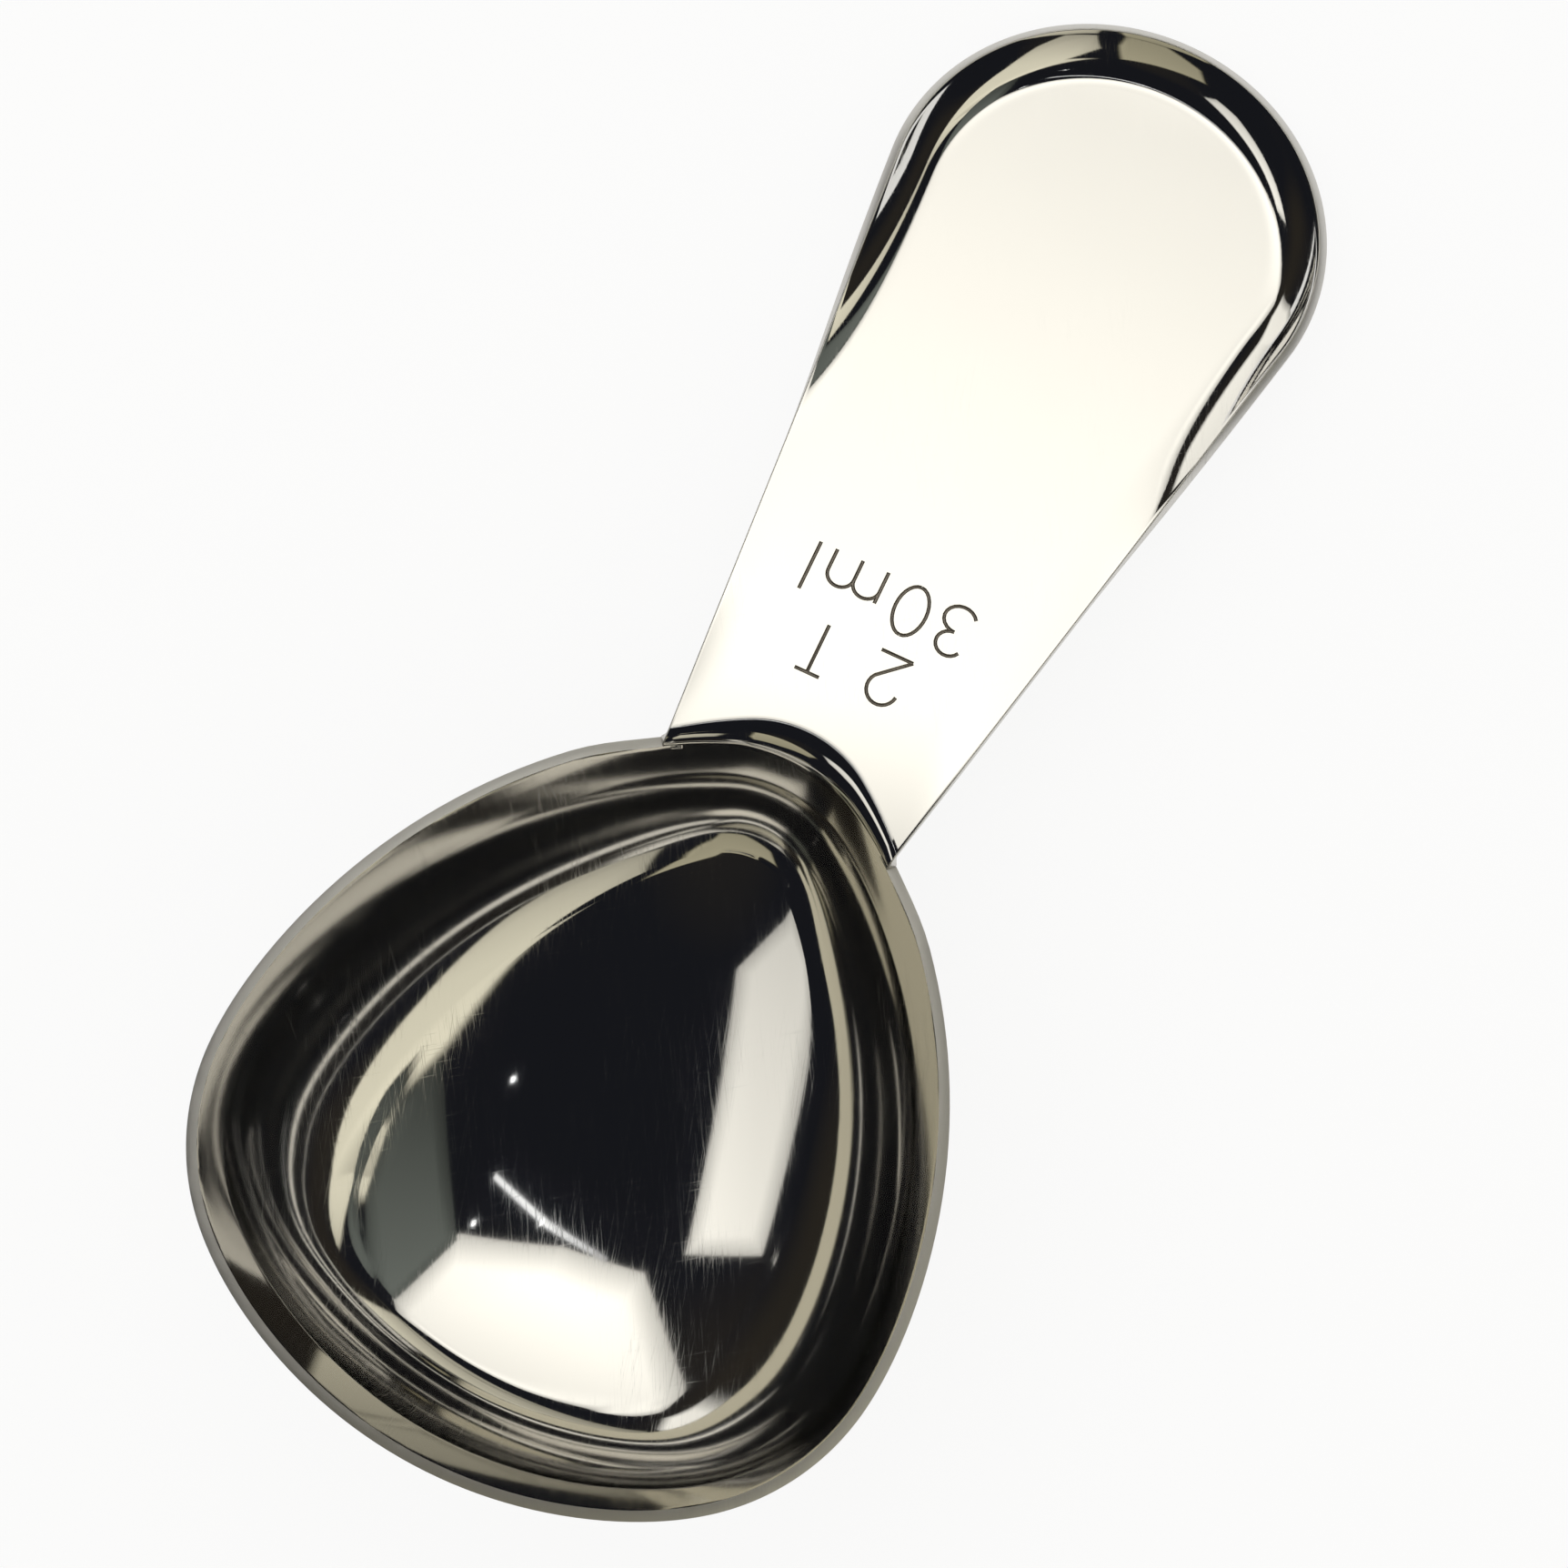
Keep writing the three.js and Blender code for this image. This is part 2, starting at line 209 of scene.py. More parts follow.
class StageSizes(bpy.types.PropertyGroup):
    """The studio: a camera placed from the mouth of the scoop, a floor, a canopy and light cards."""

    aim: length("Aim", "From the middle of the mouth to the point that the camera looks at", 25.5)
    aim_side: length("Aim side", "From the scoop's middle line to that point, to its left", 0.17)
    distance: length("Distance", "From that point to the camera", 288.5)
    picture_width: length("Picture width", "Width of the picture at that point", 111.9)
    tip_tilt: angle("Tip tilt", "Tilt of the camera towards the tip", 11.0)
    side_tilt: angle("Side tilt", "Tilt of the camera towards the right of the picture", 5.0)
    roll: angle("Roll", "Handle's turn to the right of upright in the picture", 29.83)
    clip_start: length("Clip start", "Nearest thing that the camera sees", 10.0)
    clip_end: length("Clip end", "Farthest thing that the camera sees", 100000.0)
    floor_radius: length("Floor radius", "Half the width of the floor", 6000.0)
    floor_tint: colour("Floor tint", "Colour of the matt floor", (0.9, 0.9, 0.89))
    floor_lift: share("Floor lift", "How far the floor is lifted to white in the picture", 0.86)
    ambient: share("Ambient", "Level of the light from all round", 0.9)
    canopy_radius: length("Canopy radius", "Radius of the dark canopy", 4000.0)
    canopy_foot: angle("Canopy foot", "Height of the canopy's foot above the table", 4.0)
    canopy_steps: count("Canopy steps", "Steps round the canopy", 48)
    canopy_tint: colour("Canopy tint", "Colour of the dark canopy", (0.011, 0.012, 0.016))
    canopy_fold: colour("Canopy fold", "Colour of the canopy's paler folds", (0.03, 0.026, 0.02))
    card_distance: length("Card distance", "From the bowl to the light cards", 600.0)
    card_turn: angle("Card turn", "From the picture's right round to the handle's direction", 60.0)


def direction(turn):
    """The way that a turn from +X points, in plan."""
    return Vector((math.cos(turn), math.sin(turn)))


def folded(turn):
    """How far a turn is from +X, on either side."""
    return math.acos(min(max(math.cos(turn), -1.0), 1.0))


def smoothstep(value, low, high):
    """0 up to the low value, 1 from the high one, and a smooth rise between."""
    t = min(max((value - low) / (high - low), 0.0), 1.0)
    return t * t * (3.0 - 2.0 * t)


class RoundedTriangle:
    """A plan outline of tangent neck, side, corner and tip arcs, with the blunt tip at -X.

    A point is found by the angle of its outward normal from +X.
    """

    samples = 13
    rounding = 1e-9

    def __init__(self, centre_x, length, width, tip, corner, side, neck, blend):
        tip_centre = Vector((centre_x - length / 2 + tip, 0.0))
        neck_centre = Vector((centre_x + length / 2 - neck, 0.0))
        side_y = width / 2 - side
        side_x = neck_centre.x - math.sqrt((side - neck) ** 2 - side_y**2)
        side_centre = Vector((side_x, side_y))
        corner_centre = self.circles_meet(tip_centre, tip - corner, side_centre, side - corner)
        self.blend = blend
        self.arcs = (
            (self.turn_of(neck_centre - side_centre), neck_centre, neck),
            (self.turn_of(corner_centre - side_centre), side_centre, side),
            (self.turn_of(corner_centre - tip_centre), corner_centre, corner),
            (math.pi, tip_centre, tip),
        )

    @staticmethod
    def turn_of(vector):
        return math.atan2(vector.y, vector.x)

    @staticmethod
    def circles_meet(first, first_radius, second, second_radius):
        """Where two circles meet, on the +Y side of the line between their centres."""
        apart = second - first
        gap = apart.length
        along = (first_radius**2 - second_radius**2 + gap**2) / (2 * gap)
        across = math.sqrt(first_radius**2 - along**2)
        unit = apart / gap
        left = Vector((-unit.y, unit.x))
        return first + unit * along + left * math.copysign(across, left.y)

    def on_arcs(self, turn):
        """A point of the bare arcs, with nothing blended."""
        half_turn = folded(turn)
        centre, radius = next((c, r) for end, c, r in self.arcs if half_turn <= end + self.rounding)
        point = centre + direction(half_turn) * radius
        return Vector((point.x, math.copysign(point.y, math.sin(turn))))

    def point(self, turn):
        """A point of the outline: the arcs turned a little each way and averaged, to blend them."""
        total = Vector((0.0, 0.0))
        for step in range(self.samples):
            shift = self.blend * (2 * step / (self.samples - 1) - 1)
            total += Matrix.Rotation(-shift, 2) @ self.on_arcs(turn + shift)
        return total / self.samples


class BowlForm:
    """Inside of the bowl, with the mouth level at z = 0 and +X towards the handle."""

    def __init__(self, sizes):
        self.sizes = sizes
        self.lowest = Vector((-sizes.bottom_shift, 0.0))
        self.neck_turn = 0.0
        self.neck_drop = lambda turn: 0.0
        self.mouth = RoundedTriangle(
            0.0,
            sizes.mouth_length,
            sizes.mouth_width,
            sizes.mouth_tip,
            sizes.mouth_corner,
            sizes.mouth_side,
            sizes.mouth_neck,
            sizes.arc_blend,
        )
        self.base = RoundedTriangle(
            (sizes.base_tip_inset - sizes.base_neck_inset) / 2,
            sizes.mouth_length - sizes.base_tip_inset - sizes.base_neck_inset,
            sizes.mouth_width - 2 * sizes.base_side_inset,
            sizes.base_tip,
            sizes.base_corner,
            sizes.base_side,
            sizes.base_neck,
            sizes.arc_blend,
        )

    def collar_inset(self, turn):
        sizes = self.sizes
        across = math.sin(turn) ** 2
        return sizes.collar_side_inset * across + sizes.collar_end_inset * (1 - across)

    def collar_slope(self, turn):
        return math.atan2(self.sizes.collar_depth, self.collar_inset(turn))

    def roundness(self, turn):
        """Roundness of the wall, which is fuller towards the tip."""
        tip = smoothstep(-math.cos(turn), self.sizes.tip_start, 1.0)
        return self.sizes.wall_roundness * (1 - tip) + self.sizes.tip_roundness * tip

    def base_height(self, point):
        sizes = self.sizes
        along = (point.x - self.lowest.x) ** 2 / (2 * sizes.bottom_long)
        across = point.y**2 / (2 * sizes.bottom_cross)
        return -sizes.depth + along + across

    def rim_outer(self, turn):
        """Outer corner of the cut rim, square to the collar."""
        slope = self.collar_slope(turn)
        out = self.mouth.point(turn) + direction(turn) * self.sizes.sheet * math.sin(slope)
        return out.to_3d() - Vector((0.0, 0.0, self.sizes.sheet * math.cos(slope)))

    def rim_drop(self, turn):
        """How far down the collar the rim lies: more where the root of the handle is welded in."""
        half_turn = folded(turn)
        risen = smoothstep(half_turn, self.neck_turn, self.neck_turn + self.sizes.neck_rise)
        return self.neck_drop(min(half_turn, self.neck_turn)) * (1 - risen)

    def section(self, turn):
        """Points from the rim down to the last ring before the lowest point."""
        sizes = self.sizes
        rim = self.mouth.point(turn).to_3d()
        top = rim - (direction(turn) * self.collar_inset(turn)).to_3d()
        top.z = -sizes.collar_depth
        crease = self.base.point(turn)
        foot = crease.to_3d()
        foot.z = self.base_height(crease)
        below = Vector((top.x, top.y, foot.z))
        pull = ((top + foot) / 2).lerp(below, self.roundness(turn))
        start = self.rim_drop(turn) / (top - rim).length
        shares = [row / sizes.collar_rows for row in range(sizes.collar_rows)]
        rows = [rim.lerp(top, start + (1 - start) * part) for part in shares]
        for row in range(sizes.wall_rows):
            t = row / sizes.wall_rows
            rows.append(top.lerp(pull, t).lerp(pull.lerp(foot, t), t))
        for row in range(sizes.base_rows):
            point = crease.lerp(self.lowest, row / sizes.base_rows)
            rows.append(Vector((point.x, point.y, self.base_height(point))))
        return rows

    def middle(self):
        """The lowest point."""
        return Vector((self.lowest.x, 0.0, -self.sizes.depth))


class HandleForm:
    """Top of the handle, in the bowl's own frame."""

    search_steps = 50

    def __init__(self, sizes, bowl):
        self.sizes = sizes
        self.bowl = bowl
        neck_x = bowl.sizes.mouth_length / 2
        self.end_centre = Vector((neck_x + sizes.reach - sizes.end_round, 0.0))
        self.squash = sizes.end_width / 2 / sizes.end_round
        self.side_start = Vector((neck_x, sizes.root_width / 2))
        to_root = Vector((neck_x - self.end_centre.x, sizes.root_width / 2 / self.squash))
        to_root_turn = math.atan2(to_root.y, to_root.x)
        self.touching_turn = to_root_turn - math.acos(sizes.end_round / to_root.length)
        self.side_end = self.end_point(self.touching_turn)
        along = (self.side_end - self.side_start).normalized()
        self.side_out = Vector((-along.y, along.x))
        self.corner_turn = self.side_turn(bowl.mouth.point, 0.0)
        self.root_x = self.root_corner(0.0).x

    def dip_rim(self):
        """Tells the bowl how far its rim drops to meet this root."""
        flange = self.sizes.flange
        self.bowl.neck_turn = self.bend_limit(1.0, 1.0)
        self.bowl.neck_drop = lambda turn: self.root_start(turn) + flange * self.root_fullness(turn)

    def end_point(self, turn):
        """A point of the round end, by its turn from the tip of the handle."""
        x, y = direction(turn) * self.sizes.end_round
        return Vector((self.end_centre.x + x, y * self.squash))

    def side_turn(self, plan, inset):
        """Turn round the neck at which a row across the root comes within an inset of the side."""
        inner, outer = 0.0, math.pi / 2
        for _ in range(self.search_steps):
            middle = (inner + outer) / 2
            depth = (self.side_start - plan(middle)).dot(self.side_out)
            inner, outer = (middle, outer) if depth > inset else (inner, middle)
        return inner

    def root_fullness(self, turn):
        """1 in the middle of the root, less towards its two corners, where the bend is tighter."""
        part = min(abs(turn) / self.corner_turn, 1.0)
        return 1 - (1 - self.sizes.root_tight) * part * part

    def root_start(self, turn):
        """How far out from the mouth the bend at the root begins."""
        radius = self.sizes.root_bend * self.root_fullness(turn)
        return radius * math.tan(self.bowl.collar_slope(turn) / 2)

    def root_plan(self, turn, inset):
        """A point of the panel, an inset away from the root line."""
        return self.bowl.mouth.point(turn) + direction(turn) * (self.root_start(turn) + inset)

    def root_turn(self, inset):
        return self.side_turn(lambda turn: self.root_plan(turn, inset), inset)

    def root_corner(self, inset):
        return self.root_plan(self.root_turn(inset), inset)

    def bend_point(self, turn, bend_share, flange_share):
        """A point on top of the bend at the root, or along the flange below it."""
        sizes = self.sizes
        bent = self.bowl.collar_slope(turn) * bend_share
        radius = sizes.root_bend * self.root_fullness(turn)
        drop = sizes.flange * self.root_fullness(turn) * flange_share
        reach = self.root_start(turn) - radius * math.sin(bent) - drop * math.cos(bent)
        plan = self.bowl.mouth.point(turn) + direction(turn) * reach
        z = -radius * (1 - math.cos(bent)) - drop * math.sin(bent)
        return Vector((plan.x, plan.y, z))

    def bend_limit(self, bend_share, flange_share):
        """Turn at which a row of the bend meets the side of the handle."""

        def plan(turn):
            return self.bend_point(turn, bend_share, flange_share).to_2d()

        return self.side_turn(plan, 0.0)

    def border_rise(self, x):
        """Height of the border at the edge."""
        sizes = self.sizes
        side = sizes.border_side_rise * smoothstep(x, self.root_x, self.root_x + sizes.border_start)
        grown = smoothstep(x, self.end_centre.x - sizes.border_fade, self.end_centre.x)
        return side + (sizes.border_end_rise - side) * grown

    def half_edge(self, inset):
        """Plan of the +Y half from the root corner to the tip, at an inset from the edge."""
        sizes = self.sizes
        corner = self.root_corner(inset)
        touch = self.side_end - self.side_out * inset
        points = [corner.lerp(touch, step / sizes.side_steps) for step in range(sizes.side_steps)]
        for step in range(sizes.end_steps + 1):
            turn = self.touching_turn * (1 - step / sizes.end_steps)
            out = Vector((math.cos(turn) * self.squash, math.sin(turn))).normalized()
            points.append(self.end_point(turn) - out * inset)
        return points

    def ring(self, row):
        """One closed row: along the root, up the +Y side, round the end and back."""
        sizes = self.sizes
        inset = sizes.border_width * row / sizes.border_rows
        fall = max(1 - row / sizes.border_rows, 0.0) ** 2
        limit = self.root_turn(inset)
        root = [
            self.root_plan(limit * (2 * step / sizes.root_steps - 1), inset).to_3d()
            for step in range(sizes.root_steps)
        ]
        half = []
        for plan, edge in zip(self.half_edge(inset), self.half_edge(0.0)):
            half.append(Vector((plan.x, plan.y, self.border_rise(edge.x) * fall)))
        back = [Vector((point.x, -point.y, point.z)) for point in reversed(half[1:-1])]
        return root + half + back

    def root_row(self, bend_share, flange_share):
        """Points across the bend or flange, from the -Y corner to the +Y one."""
        limit = self.bend_limit(bend_share, flange_share)
        steps = self.sizes.root_steps
        turns = [limit * (2 * step / steps - 1) for step in range(steps + 1)]
        return [self.bend_point(turn, bend_share, flange_share) for turn in turns]


def scoop_matrix(bowl):
    """Takes the scoop's own frame, mouth level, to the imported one, where it leans on the table."""
    mounts = {mount["name"]: mount for mount in frame["record"]["mounts"]}
    down = mounts["handle_underside"]["axis"]
    lean = Matrix.Rotation(math.atan2(-down[0], -down[2]), 4, "Y")
    low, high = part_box("bowl")
    tip = bowl.mouth.point(math.pi).to_3d()
    place = Vector((low.x - (lean @ bowl.rim_outer(math.pi)).x, 0.0, high.z - (lean @ tip).z))
    return Matrix.Translation(place) @ lean


def extrude_row(bm, edges, place):
    """Extrudes a row of edges and puts each new vertex where its own step says."""
    step = bm.verts.layers.int[STEP]
    made = bmesh.ops.extrude_edge_only(bm, edges=edges)["geom"]
    for vert in made:
        if isinstance(vert, bmesh.types.BMVert):
            vert.co = place[vert[step]]
    return [edge for edge in made if isinstance(edge, bmesh.types.BMEdge) and edge.is_boundary]


def loft_rings(bm, rings):
    """Adds a skin through closed rings of as many points each; gives its first and last edges."""
    step = bm.verts.layers.int[STEP]
    circle = bmesh.ops.create_circle(bm, segments=len(rings[0]), radius=1.0)["verts"]
    for number, vert in enumerate(circle):
        vert[step] = number
        vert.co = rings[0][number]
    first = list({edge for vert in circle for edge in vert.link_edges})
    last = first
    for ring in rings[1:]:
        last = extrude_row(bm, last, ring)
    return first, last


def new_skin():
    """An empty bmesh with layers for each vertex's step along its ring and for the finishes."""
    bm = bmesh.new()
    bm.verts.layers.int.new(STEP)
    bm.verts.layers.float.new(WALL)
    bm.faces.layers.float.new(CUT_EDGE)
    bm.faces.layers.float.new(GROOVE)
    return bm


def bevel_edges(bm, edges, offset, segments):
    """Rounds edges and gives the new faces."""
    made = bmesh.ops.bevel(
        bm,
        geom=edges,
        offset=offset,
        offset_type="OFFSET",
        affect="EDGES",
        segments=segments,
        profile=0.5,
        material=-1,
        clamp_overlap=True,
    )
    return made["faces"]


def thicken(bm, sheet, edge_round, welded):
    """Gives a skin its sheet thickness below and rounds the cut edge, except along the weld."""
    bmesh.ops.recalc_face_normals(bm, faces=bm.faces)
    broadest = max(bm.faces, key=lambda face: abs(face.normal.z) * face.calc_area())
    if broadest.normal.z < 0:
        bmesh.ops.reverse_faces(bm, faces=bm.faces)
    bmesh.ops.solidify(bm, geom=bm.faces, thickness=sheet)
    cut = bm.faces.layers.float[CUT_EDGE]
    sharp = {edge for edge in bm.edges if edge.calc_face_angle(0.0) > CUT_BEND}
    for face in bm.faces:
        face[cut] = float(len(sharp.intersection(face.edges)) > 1)
    free = list(sharp - set(row_edges(bm, welded)))
    for face in bevel_edges(bm, free, edge_round, EDGE_STEPS):
        face[cut] = 1.0


def shade(mesh):
    """Shades a mesh smooth, except at its sharp bends."""
    mesh.shade_smooth()
    mesh.set_sharp_from_angle(angle=SHARP_BEND)


def finish_piece(bm, name, matrix, material, node):
    """Makes a piece of a finished bmesh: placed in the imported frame, shaded, riding on the scoop."""
    bm.transform(matrix)
    mesh = bpy.data.meshes.new(name)
    bm.to_mesh(mesh)
    bm.free()
    mesh.attributes.remove(mesh.attributes[STEP])
    shade(mesh)
    mesh.materials.append(material)
    piece = bpy.data.objects.new(name, mesh)
    bpy.context.scene.collection.objects.link(piece)
    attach(piece, "root")
    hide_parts(node)
    return piece


def row_edges(bm, place):
    """Edges whose two ends both lie on the given points."""

    def spot(point):
        return tuple(round(value / SAME_PLACE) for value in point)

    near = {spot(point) for point in place}
    return [edge for edge in bm.edges if all(spot(vert.co) in near for vert in edge.verts)]


def mark_wall(bm, rings, sizes):
    """Marks where the polish is coarser: the collar and the wall, fading out towards the base."""
    wall = bm.verts.layers.float[WALL]
    for row, ring in enumerate(rings):
        down = (row - sizes.collar_rows) / sizes.wall_rows
        coarse = 1 - smoothstep(down, sizes.polish_fade, 1.0)
        for edge in row_edges(bm, ring):
            for vert in edge.verts:
                vert[wall] = coarse


def build_bowl(form, matrix, material):
    """The drawn bowl: a skin through the rings of its form, closed at the lowest point."""
    sizes = form.sizes
    turns = [2 * math.pi * step / sizes.rim_steps for step in range(sizes.rim_steps)]
    sections = [form.section(turn) for turn in turns]
    rings = [list(ring) for ring in zip(*sections)]
    bm = new_skin()
    _, last = loft_rings(bm, rings)
    tip = bmesh.ops.extrude_edge_only(bm, edges=last)["geom"]
    fan = [vert for vert in tip if isinstance(vert, bmesh.types.BMVert)]
    bmesh.ops.pointmerge(bm, verts=fan, merge_co=form.middle())
    mark_wall(bm, rings, sizes)
    collar_foot = row_edges(bm, rings[sizes.collar_rows])
    base_crease = row_edges(bm, rings[sizes.collar_rows + sizes.wall_rows])
    bevel_edges(bm, collar_foot, sizes.collar_fillet, sizes.collar_fillet_steps)
    bevel_edges(bm, base_crease, sizes.base_fillet, sizes.base_fillet_steps)
    neck_start = math.cos(form.neck_turn)
    neck = [point for point, turn in zip(rings[0], turns) if math.cos(turn) >= neck_start]
    thicken(bm, sizes.sheet, sizes.edge_round, neck)
    finish_piece(bm, "drawn_bowl", matrix, material, "bowl")


def build_handle(form, matrix, material):
    """The pressed handle: its border, its flat panel, then the bend and flange at the root."""
    sizes = form.sizes
    # The rows of the border, with both its ends, and one more on the panel.
    rings = [form.ring(row) for row in range(sizes.border_rows + 2)]
    bm = new_skin()
    first, last = loft_rings(bm, rings)
    bmesh.ops.contextual_create(bm, geom=last)
    step = bm.verts.layers.int[STEP]
    edges = [edge for edge in first if max(vert[step] for vert in edge.verts) <= sizes.root_steps]
    for row in range(1, sizes.bend_rows + 1):
        edges = extrude_row(bm, edges, form.root_row(row / sizes.bend_rows, 0.0))
    weld = form.root_row(1.0, 1.0)
    extrude_row(bm, edges, weld)
    thicken(bm, sizes.sheet, sizes.edge_round, weld)
    return finish_piece(bm, "pressed_handle", matrix, material, "handle")


ARC_STEPS = 14
TOOL_SIDES = 10


def arc(x, y, across, high, start, end):
    """Points of an oval arc round (x, y), from one angle to another, in degrees."""
    points = []
    for step in range(ARC_STEPS + 1):
        turn = math.radians(start + (end - start) * step / ARC_STEPS)
        points.append(Vector((x + across * math.cos(turn), y + high * math.sin(turn))))
    return points


def line(*points):
    """Points of straight strokes."""
    return [Vector(point) for point in points]


# The strokes of each figure, in figure heights from its lower left corner.
FIGURES = {
    "2": (
        arc(0.32, 0.69, 0.3, 0.31, 172, -38) + line((0.0, 0.0)),
        line((0.0, 0.0), (0.65, 0.0)),
    ),
    "3": (
        arc(0.28, 0.76, 0.26, 0.24, 155, -90),
        arc(0.28, 0.26, 0.31, 0.26, 90, -155),
    ),
    "0": (arc(0.31, 0.5, 0.31, 0.5, 90, 270), arc(0.31, 0.5, 0.31, 0.5, 270, 450)),
    "T": (line((0.0, 1.0), (0.5, 1.0)), line((0.25, 1.0), (0.25, 0.0))),
    "m": (
        line((0.0, 0.0), (0.0, 0.66)),
        arc(0.265, 0.42, 0.265, 0.24, 180, 0) + line((0.53, 0.0)),
        arc(0.795, 0.42, 0.265, 0.24, 180, 0) + line((1.06, 0.0)),
    ),
    "l": (line((0.0, 0.0), (0.0, 1.0)),),
}
# The figures of each line, with their places in figure heights from the handle's middle.
MARKS = (
    ("first_line", (("2", -0.94), ("T", 0.54))),
    ("second_line", (("3", -1.56), ("0", -0.68), ("m", 0.31), ("l", 1.71))),
)


def cut_stroke(bm, points, radius):
    """Adds the round groove tool, run along a stroke."""
    up = Vector((0.0, 0.0, 1.0))
    turns = [2 * math.pi * step / TOOL_SIDES for step in range(TOOL_SIDES)]
    rings = []
    for number, point in enumerate(points):
        before = points[max(number - 1, 0)]
        after = points[min(number + 1, len(points) - 1)]
        side = (after - before).normalized().cross(up)
        rings.append([point + (side * math.cos(t) + up * math.sin(t)) * radius for t in turns])
    first, last = loft_rings(bm, rings)
    bmesh.ops.contextual_create(bm, geom=first)
    bmesh.ops.contextual_create(bm, geom=last)


def engrave(handle, form, sizes, matrix):
    """Cuts the capacity marks into the panel, to be read with the bowl at the top."""
    bm = new_skin()
    right = Vector((-math.sin(sizes.turn), math.cos(sizes.turn), 0.0))
    up = Vector((-math.cos(sizes.turn), -math.sin(sizes.turn), 0.0))
    neck = form.bowl.sizes.mouth_length / 2
    for row, figures in MARKS:
        foot = Vector((neck + getattr(sizes, row), 0.0, sizes.tool_lift))
        for figure, start in figures:
            for stroke in FIGURES[figure]:
                points = [foot + (right * (start + p.x) + up * p.y) * sizes.height for p in stroke]
                cut_stroke(bm, points, sizes.tool_radius)
    bmesh.ops.recalc_face_normals(bm, faces=bm.faces)
    groove = bm.faces.layers.float[GROOVE]
    for face in bm.faces:
        face[groove] = 1.0
    bm.transform(matrix)
    mesh = bpy.data.meshes.new("groove_tool")
    bm.to_mesh(mesh)
    bm.free()
    tool = bpy.data.objects.new("groove_tool", mesh)
    bpy.context.scene.collection.objects.link(tool)
    cut = handle.modifiers.new("capacity_marks", "BOOLEAN")
    cut.operation = "DIFFERENCE"
    cut.solver = "EXACT"
    cut.use_self = True
    cut.object = tool
    bpy.context.view_layer.update()
    seen = handle.evaluated_get(bpy.context.evaluated_depsgraph_get())
    plain = handle.data
    handle.data = bpy.data.meshes.new_from_object(seen)
    handle.modifiers.remove(cut)
    bpy.data.objects.remove(tool)
    bpy.data.meshes.remove(mesh)
    bpy.data.meshes.remove(plain)
    handle.data.name = handle.name
    shade(handle.data)


class Wire:
    """A socket that gives a value; arithmetic on it adds Math nodes."""

    def __init__(self, finish, socket):
        self.finish = finish
        self.socket = socket

    def worked(self, operation, first, second):
        node = self.finish.node("ShaderNodeMath", {"operation": operation}, {0: first, 1: second})
        return Wire(self.finish, node.outputs[0])

    def __add__(self, other):
        return self.worked("ADD", self, other)

    def __radd__(self, other):
        return self.worked("ADD", other, self)

    def __mul__(self, other):
        return self.worked("MULTIPLY", self, other)

    def __rmul__(self, other):
        return self.worked("MULTIPLY", other, self)


class Finish:
    """The node tree of a material or of the world."""

    def __init__(self, owner):
        owner.use_nodes = True
        self.tree = owner.node_tree
        self.tree.nodes.clear()

    def node(self, kind, settings, inputs):
        """Adds a node: its settings first, then the values or wires of its sockets."""
        made = self.tree.nodes.new(kind)
        for name, value in settings.items():
            setattr(made, name, value)
        for name, value in inputs.items():
            if isinstance(value, Wire):
                self.tree.links.new(value.socket, made.inputs[name])
            else:
                made.inputs[name].default_value = value
        return made

    def wire(self, kind, settings, inputs, output=0):
        """Adds a node and gives one of its outputs."""
        return Wire(self, self.node(kind, settings, inputs).outputs[output])

    def attribute(self, name):
        """A value that the mesh carries."""
        return self.wire("ShaderNodeAttribute", {"attribute_name": name}, {}, "Fac")

    def noise(self, place, scale, detail):
        """Soft noise at a scale per metre, or per unit of a stretched place."""
        return self.wire("ShaderNodeTexNoise", {}, {"Vector": place, "Scale": scale, "Detail": detail})

    def rise(self, value, low, high):
        """0 up to the low level of a value, 1 from the high one."""
        return self.wire("ShaderNodeMapRange", {}, {"Value": value, "From Min": low, "From Max": high})

    def mix(self, factor, first, second):
        """A mix of two colours."""
        colours = {"Factor": factor, "A": first, "B": second}
        return self.wire("ShaderNodeMix", {"data_type": "RGBA"}, colours, "Result")


PATCH_SCALE = 90.0
PATCH_SHADE = 0.97
PATCH_HAZE = (0.7, 0.6)
WORN_LEVELS = (0.42, 0.7)
LEAST_WORN = 0.25
# Each way that the polishing wheel ran, in degrees, with the noise level at which a scratch starts.
SCRATCH_RUNS = ((35.0, 0.6), (20.0, 0.62), (-50.0, 0.68))
SCRATCH_FADE = 0.05
SCRATCH_BUMP = 0.006
SCRATCH_DEPTH = 0.04 * MM


